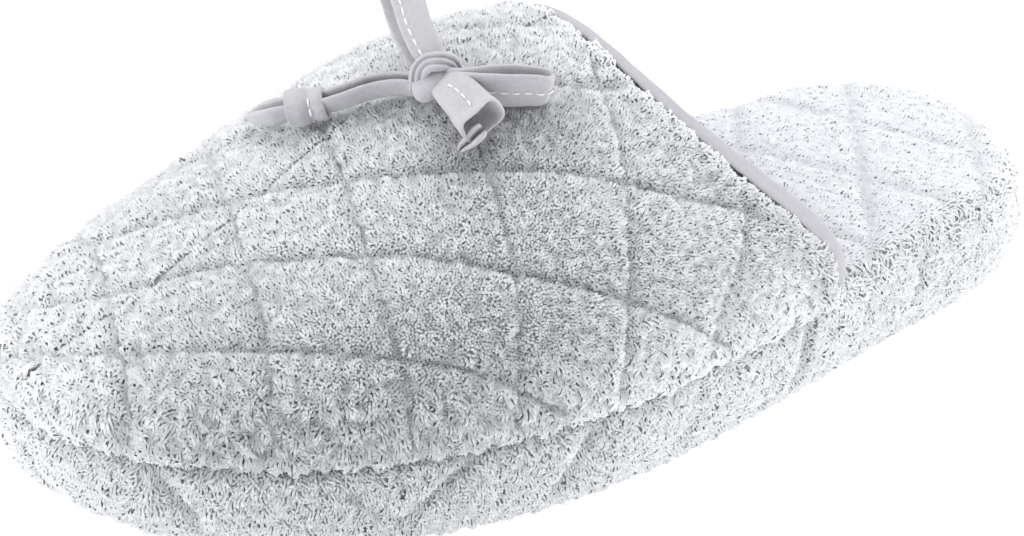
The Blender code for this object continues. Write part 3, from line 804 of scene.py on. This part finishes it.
binding = copy_of_solid("collar_binding", "jersey_binding")
activate(binding)
bpy.ops.object.mode_set(mode="EDIT")
bpy.ops.mesh.select_all(action="SELECT")
bpy.ops.mesh.remove_doubles(threshold=1e-6)
bpy.ops.mesh.tris_convert_to_quads(face_threshold=math.pi, shape_threshold=math.pi)
bpy.ops.object.mode_set(mode="OBJECT")
round_off = binding.modifiers.new("round_off", "SUBSURF")
round_off.levels = round_off.render_levels = 2
bpy.ops.object.modifier_apply(modifier=round_off.name)
bpy.ops.object.shade_smooth()
points, normals = points_of(binding), normals_of(binding)
pucker = PUCKER * lumps(points * (1.0, 1.0, 0.5), 5.0) + FINE_PUCKER * lumps(points, 2.2)
set_points(binding, points + pucker[:, None] * normals)


def jersey(name, colour, shade, wale):
    """Cotton jersey: fine flat wales with a soft bloom at glancing angles."""
    material, shader = new_material(name)
    cloth = node(material, "ShaderNodeAttribute", attribute_name="cloth")
    wales = node(material, "ShaderNodeTexWave",
                 {"Vector": cloth.outputs["Vector"], "Scale": 2 * math.pi / 20 / wale,
                  "Distortion": 0.6, "Detail": 1.0},
                 wave_type="BANDS", bands_direction="X")
    place = node(material, "ShaderNodeTexCoord")
    fleck = node(material, "ShaderNodeTexNoise",
                 {"Vector": place.outputs["Object"], "Scale": 1 / (1.0 * MM), "Detail": 2.0})
    tint = node(material, "ShaderNodeMix",
                {"Factor": fleck.outputs["Fac"], "A": linear(shade), "B": linear(colour)},
                data_type="RGBA")
    bump = node(material, "ShaderNodeBump",
                {"Height": wales.outputs["Fac"], "Strength": 0.18, "Distance": 0.12 * MM})
    creased = node(material, "ShaderNodeBump",
                   {"Height": fleck.outputs["Fac"], "Normal": bump.outputs["Normal"],
                    "Strength": 0.3, "Distance": 0.2 * MM})
    material.node_tree.links.new(tint.outputs["Result"], shader.inputs["Base Color"])
    material.node_tree.links.new(creased.outputs["Normal"], shader.inputs["Normal"])
    shader.inputs["Roughness"].default_value = 0.85
    shader.inputs["Specular IOR Level"].default_value = 0.2
    shader.inputs["Sheen Weight"].default_value = 0.25
    shader.inputs["Sheen Roughness"].default_value = 0.5
    return material


def set_cloth(mesh, across, along):
    """Way across and along the strip of cloth at each point, for its wales."""
    attribute = mesh.attributes.new("cloth", "FLOAT_VECTOR", "POINT")
    flat = np.stack([across, along, 0 * along], axis=-1)
    attribute.data.foreach_set("vector", flat.astype(np.float32).ravel())


set_cloth(binding.data, points[:, 2] - points[:, 0], points[:, 1])
grey_jersey = jersey("grey_jersey", "#B4B4B9", "#A4A4A9", JERSEY_WALE)
binding.data.materials.append(grey_jersey)
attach(binding, "root")
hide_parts("collar_binding")

# Bow: one length of grey jersey ribbon tied over the instep and tacked there by hand. Its ends hang
# towards the toe and the side, one through a sewn sleeve and the other out of an open one.
# Columns of a run: station and turn of the vamp below it, height over the vamp, width and thickness
# of the section, then the way the width points (to the toe, to the medial side, up).
BOW_UPPER_LOOP = [
    (93.5, -9.5, 8.0, 5.4, 1.4, 1.0, 0.0, 0.0),
    (93.5, -8.5, 9.6, 6.4, 1.4, 1.0, 0.0, 0.0),
    (94.0, -6.5, 11.4, 7.0, 1.4, 1.0, 0.0, 0.0),
    (95.0, -3.5, 13.8, 7.2, 1.4, 1.0, 0.0, 0.0),
    (96.5, -0.5, 16.2, 7.2, 1.4, 1.0, 0.0, 0.0),
    (98.0, 4.0, 18.4, 7.2, 1.4, 1.0, 0.0, 0.0),
    (99.0, 8.5, 18.0, 7.2, 1.4, 1.0, 0.0, 0.0),
    (99.0, 10.0, 15.2, 7.2, 1.4, 1.0, 0.0, 0.0),
    (97.5, 6.0, 12.6, 7.2, 1.4, 1.0, 0.0, 0.0),
    (95.5, 1.5, 10.4, 7.2, 1.4, 1.0, 0.0, 0.0),
    (94.0, -3.0, 8.4, 7.0, 1.4, 1.0, 0.0, 0.0),
    (93.0, -6.0, 6.6, 5.8, 1.4, 1.0, 0.0, 0.0),
    (92.5, -8.5, 5.4, 5.0, 1.4, 1.0, 0.0, 0.0),
]
BOW_SIDE_LOOP = [
    (94.0, -12.0, 6.0, 5.2, 1.4, 0.0, 0.0, 1.0),
    (95.5, -15.0, 5.9, 6.8, 1.4, 0.0, 0.1, 1.0),
    (99.5, -18.0, 5.8, 7.6, 1.4, 0.0, 0.2, 1.0),
    (103.0, -20.0, 5.7, 7.8, 1.4, 0.0, 0.2, 1.0),
    (106.5, -22.5, 5.6, 7.8, 1.4, 0.0, 0.2, 1.0),
    (108.5, -24.0, 5.5, 7.6, 1.4, 0.0, 0.1, 1.0),
    (108.5, -25.0, 5.4, 7.6, 1.4, 0.0, 0.0, 1.0),
    (107.0, -25.5, 5.6, 8.6, 1.4, 0.0, 0.0, 1.0),
    (104.5, -24.0, 5.8, 9.4, 1.4, 0.0, 0.0, 1.0),
    (101.0, -22.0, 5.8, 9.4, 1.4, 0.0, 0.0, 1.0),
    (98.0, -19.5, 5.8, 9.0, 1.4, 0.0, 0.0, 1.0),
    (95.5, -16.5, 5.7, 7.6, 1.4, 0.0, 0.1, 1.0),
    (93.0, -13.5, 5.6, 5.2, 1.4, 0.0, 0.2, 1.0),
]
BOW_TOE_TAIL = [
    (90.0, -10.5, 4.4, 5.2, 2.6, 0.0, -0.2, 1.0),
    (88.5, -8.0, 4.8, 6.2, 2.8, 0.0, -0.3, 1.0),
    (86.0, -5.0, 5.0, 6.8, 3.0, 0.0, -0.4, 1.0),
    (82.5, -2.5, 5.0, 7.0, 3.0, 0.0, -0.4, 1.0),
    (79.5, -1.0, 4.9, 6.8, 3.0, 0.0, -0.4, 1.0),
    (76.5, 1.0, 4.8, 5.8, 3.2, 0.0, -0.3, 1.0),
    (74.5, 3.0, 4.8, 5.2, 3.2, 0.0, -0.3, 1.0),
]
BOW_SLEEVE = [
    (74.5, 3.0, 4.6, 4.6, 3.8, 0.0, -0.3, 1.0),
    (75.5, 2.0, 4.5, 5.8, 4.8, 0.0, -0.3, 1.0),
    (76.0, 2.0, 4.5, 7.2, 6.0, 0.0, -0.3, 1.0),
    (75.5, 2.5, 4.6, 8.2, 7.0, 0.0, -0.3, 1.0),
    (74.5, 3.5, 4.8, 8.2, 7.0, 0.0, -0.3, 1.0),
    (74.0, 4.0, 4.9, 7.4, 6.2, 0.0, -0.3, 1.0),
    (73.5, 4.5, 5.0, 8.4, 7.2, 0.0, -0.3, 1.0),
    (72.5, 5.0, 5.3, 9.2, 8.0, 0.0, -0.3, 1.0),
    (71.5, 6.0, 5.7, 9.2, 8.2, 0.0, -0.3, 1.0),
    (70.5, 6.5, 6.2, 8.8, 8.0, 0.0, -0.3, 1.0),
]
BOW_TIP = [
    (72.0, 6.5, 5.0, 4.6, 3.0, 0.0, -0.3, 1.0),
    (70.5, 9.0, 5.0, 5.0, 3.6, 0.0, -0.3, 1.0),
    (69.0, 11.5, 4.4, 5.6, 4.2, 0.0, -0.2, 1.0),
    (68.0, 15.5, 3.6, 5.0, 3.8, 0.0, -0.2, 1.0),
    (67.5, 20.0, 2.8, 3.0, 2.4, 0.0, -0.2, 1.0),
    (67.5, 25.0, 2.2, 1.2, 1.0, 0.0, -0.2, 1.0),
]
BOW_SIDE_TAIL = [
    (93.0, -12.0, 6.4, 6.0, 1.8, -0.7, 0.7, 0.1),
    (92.5, -15.5, 7.2, 8.2, 2.2, -0.8, 0.5, 0.1),
    (92.5, -18.0, 7.6, 9.0, 3.2, -0.9, 0.3, 0.1),
    (92.5, -21.0, 7.3, 9.2, 4.8, -0.9, 0.2, 0.1),
    (92.5, -23.5, 7.0, 9.8, 6.6, -0.9, 0.1, 0.2),
    (92.5, -26.0, 7.5, 10.4, 7.8, -0.9, 0.0, 0.3),
]
BOW_RAW_END = [
    (92.5, -26.0, 5.0, 4.4, 3.0, 0.3, -0.4, 0.9),
    (91.0, -26.0, 4.6, 5.0, 3.4, 0.3, -0.4, 0.9),
    (89.5, -26.0, 3.6, 4.0, 2.8, 0.3, -0.4, 0.9),
    (88.0, -25.5, 2.6, 2.6, 2.0, 0.3, -0.4, 0.9),
    (87.0, -25.5, 2.0, 1.2, 1.0, 0.3, -0.4, 0.9),
]
BOW_CORE = [
    (94.5, -11.5, 5.6, 3.6, 3.2, 0.3, 1.0, 0.0),
    (93.5, -11.5, 5.8, 5.6, 5.0, 0.3, 1.0, 0.0),
    (92.0, -11.0, 5.7, 6.4, 5.6, 0.3, 1.0, 0.0),
    (90.5, -11.0, 5.3, 6.6, 5.8, 0.3, 1.0, 0.0),
    (89.0, -10.5, 4.8, 6.2, 5.4, 0.3, 1.0, 0.0),
    (88.5, -10.0, 4.4, 4.4, 4.0, 0.3, 1.0, 0.0),
]
BOW_BELT = [
    (88.5, -9.0, 3.6, 3.0, 1.4, 0.7, 0.6, -0.3),
    (89.0, -10.0, 6.6, 3.6, 1.7, 0.7, 0.6, -0.3),
    (90.0, -10.0, 9.0, 3.9, 1.9, 0.5, 0.6, 0.0),
    (91.5, -10.5, 10.4, 4.1, 1.9, -0.2, 0.6, 0.3),
    (93.0, -11.5, 10.6, 4.1, 1.9, -0.7, 0.5, 0.5),
    (95.0, -12.0, 9.2, 3.9, 1.9, -0.9, 0.2, 0.5),
    (96.0, -12.0, 6.8, 3.4, 1.7, -1.0, 0.0, 0.5),
    (96.5, -12.0, 4.4, 3.0, 1.4, -1.0, -0.2, 0.4),
]
# Sections as (share of half the width, share of half the thickness), in order round the edge.
FLAT = [(-1, -0.5), (-0.8, -1), (-0.3, -0.9), (0.3, -0.9), (0.8, -1), (1, -0.5),
        (1, 0.5), (0.8, 1), (0.3, 0.9), (-0.3, 0.9), (-0.8, 1), (-1, 0.5)]
FOLDED = [(1.0, -1.0), (0.2, -1.0), (-0.6, -0.95), (-1.0, -0.4), (-1.0, 0.4), (-0.6, 0.95), (0.2, 1.0),
          (1.0, 1.0), (1.05, 0.6), (0.9, 0.3), (0.1, 0.2), (-0.3, 0.0), (0.1, -0.2), (0.9, -0.3),
          (1.05, -0.6)]
ROUND = [(math.cos(a), math.sin(a)) for a in np.radians(np.arange(0, 360, 30))]
RIDGED = [(-1, -0.8), (0, -1), (1, -0.8), (1.1, 0.0), (0.85, 0.9), (0.55, 0.9), (0.42, -0.1), (0.25, 0.95),
          (-0.1, 1.0), (-0.25, -0.05), (-0.45, 0.9), (-0.8, 0.8), (-1.1, 0.0)]
# An open end is turned in by three more rings, whose sizes are these shares of the mouth's.
TURNED_IN = np.array([0.84, 0.76, 0.62])
RIBBON_CREASE = 0.12
FINE_CREASE = 0.04
RIBBON_WALE = 0.7


def turn_outwards(piece):
    """Turns all the faces of a piece outwards."""
    activate(piece)
    bpy.ops.object.mode_set(mode="EDIT")
    bpy.ops.mesh.select_all(action="SELECT")
    bpy.ops.mesh.normals_make_consistent(inside=False)
    bpy.ops.object.mode_set(mode="OBJECT")


def run_frame(rows, steps, straight):
    """Path of a run and the ways of its width and thickness, with its widths and thicknesses."""
    rows = np.array(rows)
    station, turn = rows[:, 0], rows[:, 1]
    ahead = unit(vamp(station - 0.5, turn) - vamp(station + 0.5, turn))
    across = unit(vamp(station, turn + 0.5) - vamp(station, turn - 0.5))
    up = unit(np.cross(across, ahead))
    across = np.cross(ahead, up)
    place = vamp(station, turn) + rows[:, 2:3] * up
    wide = rows[:, 5:6] * ahead + rows[:, 6:7] * across + rows[:, 7:8] * up
    knots = np.arange(len(rows), dtype=float)
    at = np.linspace(0, len(rows) - 1, (len(rows) - 1) * steps + 1)
    path = through(knots, place, at)
    along = unit(np.gradient(path, axis=0))
    if straight:
        along = np.broadcast_to(unit(place[-3] - place[2]), path.shape)
    wide = through(knots, wide, at)
    wide = unit(wide - np.sum(wide * along, axis=1, keepdims=True) * along)
    return path, wide, np.cross(along, wide), through(knots, rows[:, 3], at), through(knots, rows[:, 4], at)


def strap(name, rows, section, straight, hollow):
    """Run of ribbon with that section, eased by a subdivision surface, its end open to that depth."""
    path, wide, thick, width, depth = run_frame(rows, 2, straight)
    if hollow:
        mouth, back = path[-1], unit(path[-2] - path[-1])
        path = np.vstack([path, mouth, mouth + 0.2 * hollow * back, mouth + hollow * back])
        wide, thick = (np.vstack([way, way[[-1, -1, -1]]]) for way in (wide, thick))
        width, depth = (np.append(size, TURNED_IN * size[-1]) for size in (width, depth))
    section = np.array(section)
    points = (
        path[:, None]
        + (width[:, None] / 2 * section[:, 0])[..., None] * wide[:, None]
        + (depth[:, None] / 2 * section[:, 1])[..., None] * thick[:, None]
    )
    rings, corners = points.shape[:2]
    faces = []
    for i in range(rings - 1):
        for j in range(corners):
            k = (j + 1) % corners
            faces.append((i * corners + j, i * corners + k, (i + 1) * corners + k, (i + 1) * corners + j))
    faces.append(tuple(range(corners))[::-1])
    faces.append(tuple((rings - 1) * corners + j for j in range(corners)))
    mesh = bpy.data.meshes.new(name)
    mesh.from_pydata((points.reshape(-1, 3) * MM).tolist(), [], faces)
    way = (width[:, None] / 2 * section[:, 0]).ravel()
    set_cloth(mesh, way, np.repeat(way_gone(path), corners))
    mesh.shade_smooth()
    made = bpy.data.objects.new(name, mesh)
    bpy.context.scene.collection.objects.link(made)
    turn_outwards(made)
    round_off = made.modifiers.new("round_off", "SUBSURF")
    round_off.levels = round_off.render_levels = 2
    bpy.ops.object.modifier_apply(modifier=round_off.name)
    moved = points_of(made)
    crease = RIBBON_CREASE * lumps(moved, 3.2) + FINE_CREASE * lumps(moved, 1.5)
    set_points(made, moved + crease[:, None] * normals_of(made))
    return made


ribbon_jersey = jersey("ribbon_jersey", "#C2C2C6", "#AEAEB3", RIBBON_WALE)
for name, rows, section, straight, hollow in (
    ("bow_upper_loop", BOW_UPPER_LOOP, FLAT, False, 0.0),
    ("bow_side_loop", BOW_SIDE_LOOP, FLAT, False, 0.0),
    ("bow_toe_tail", BOW_TOE_TAIL, FOLDED, False, 0.0),
    ("bow_sleeve", BOW_SLEEVE, ROUND, True, 5.0),
    ("bow_tip", BOW_TIP, FOLDED, False, 0.0),
    ("bow_side_tail", BOW_SIDE_TAIL, FLAT, False, 6.0),
    ("bow_raw_end", BOW_RAW_END, FOLDED, False, 0.0),
    ("bow_core", BOW_CORE, ROUND, False, 0.0),
    ("bow_belt", BOW_BELT, RIDGED, False, 0.0),
):
    run = strap(name, rows, section, straight, hollow)
    run.data.materials.append(ribbon_jersey)
    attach(run, "root")
    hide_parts("bow")

# Topstitching of the ribbon: white cotton thread in a row of short running stitches on its faces.
# Each stitch lies almost flat and dips into the jersey at both ends.
STITCH_STEP = 2.5
STITCH_LONG = 1.9
STITCH_THICK = 0.42
STITCH_SIDES = 6
# Along a stitch: share of its length, height over the ribbon and share of its thickness.
STITCH_AT = np.array([0.0, 0.25, 0.75, 1.0])
STITCH_HEIGHT = np.array([-0.25, 0.1, 0.1, -0.25])
STITCH_SIZE = (0.5, 1.0, 1.0, 0.5)
# Row of the sleeve where a seam is drawn tight round it.
SLEEVE_WAIST = 5
STITCH_ROWS = [
    # run, share of half the width, side of the ribbon, first and last share of its length
    (BOW_UPPER_LOOP, 0.55, 1.0, 0.08, 0.45),
    (BOW_SIDE_LOOP, 0.0, -1.0, 0.5, 0.95),
    (BOW_SIDE_TAIL, -0.05, 1.0, 0.2, 0.85),
]

seams = []
for rows, share, side, first, last in STITCH_ROWS:
    path, wide, thick, width, depth = run_frame(rows, 12, False)
    seam = path + (share * width / 2)[:, None] * wide + (side * (depth / 2 + 0.02))[:, None] * thick
    seam = seam[int(first * len(seam)):int(last * len(seam))]
    seams.append((seam, thick[int(first * len(thick)):int(last * len(thick))] * side))
path, wide, thick, width, depth = run_frame(BOW_SLEEVE, 1, True)
round_waist = np.radians(np.linspace(-5.0, -85.0, 30))[:, None]
off = np.cos(round_waist) * wide[SLEEVE_WAIST] + np.sin(round_waist) * thick[SLEEVE_WAIST]
waist = (width[SLEEVE_WAIST] + depth[SLEEVE_WAIST]) / 4 * off
seams.append((path[SLEEVE_WAIST] + 1.06 * waist, off))

stitches = []
for seam, off in seams:
    gone = way_gone(seam)
    for start in np.arange(0.4, gone[-1] - STITCH_LONG, STITCH_STEP):
        at = start + STITCH_LONG * STITCH_AT
        line = np.stack([np.interp(at, gone, seam[:, i]) for i in range(3)], axis=1)
        face = np.array([np.interp(start, gone, off[:, i]) for i in range(3)])
        stitches.append((line + STITCH_HEIGHT[:, None] * face, face))
vertices, faces = [], []
for line, face in stitches:
    side_way = unit(np.cross(line[-1] - line[0], face))
    start = len(vertices)
    for centre, size in zip(line, STITCH_SIZE):
        for angle in np.radians(np.arange(0, 360, 360 // STITCH_SIDES)):
            spoke = math.cos(angle) * side_way + math.sin(angle) * face
            vertices.append(centre + STITCH_THICK / 2 * size * spoke)
    rings = range(start, len(vertices), STITCH_SIDES)
    for here, after in zip(rings, rings[1:]):
        for j in range(STITCH_SIDES):
            k = (j + 1) % STITCH_SIDES
            faces.append((here + j, here + k, after + k, after + j))
    faces.append(tuple(rings[0] + j for j in range(STITCH_SIDES))[::-1])
    faces.append(tuple(rings[-1] + j for j in range(STITCH_SIDES)))
mesh = bpy.data.meshes.new("bow_topstitches")
mesh.from_pydata((np.array(vertices) * MM).tolist(), [], faces)
mesh.shade_smooth()
topstitches = bpy.data.objects.new("bow_topstitches", mesh)
bpy.context.scene.collection.objects.link(topstitches)
turn_outwards(topstitches)
# Mercerised thread: whiter and a little glossier than the jersey round it.
thread, shader = new_material("white_thread")
shader.inputs["Base Color"].default_value = linear("#F2F2F4")
shader.inputs["Roughness"].default_value = 0.6
topstitches.data.materials.append(thread)
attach(topstitches, "root")
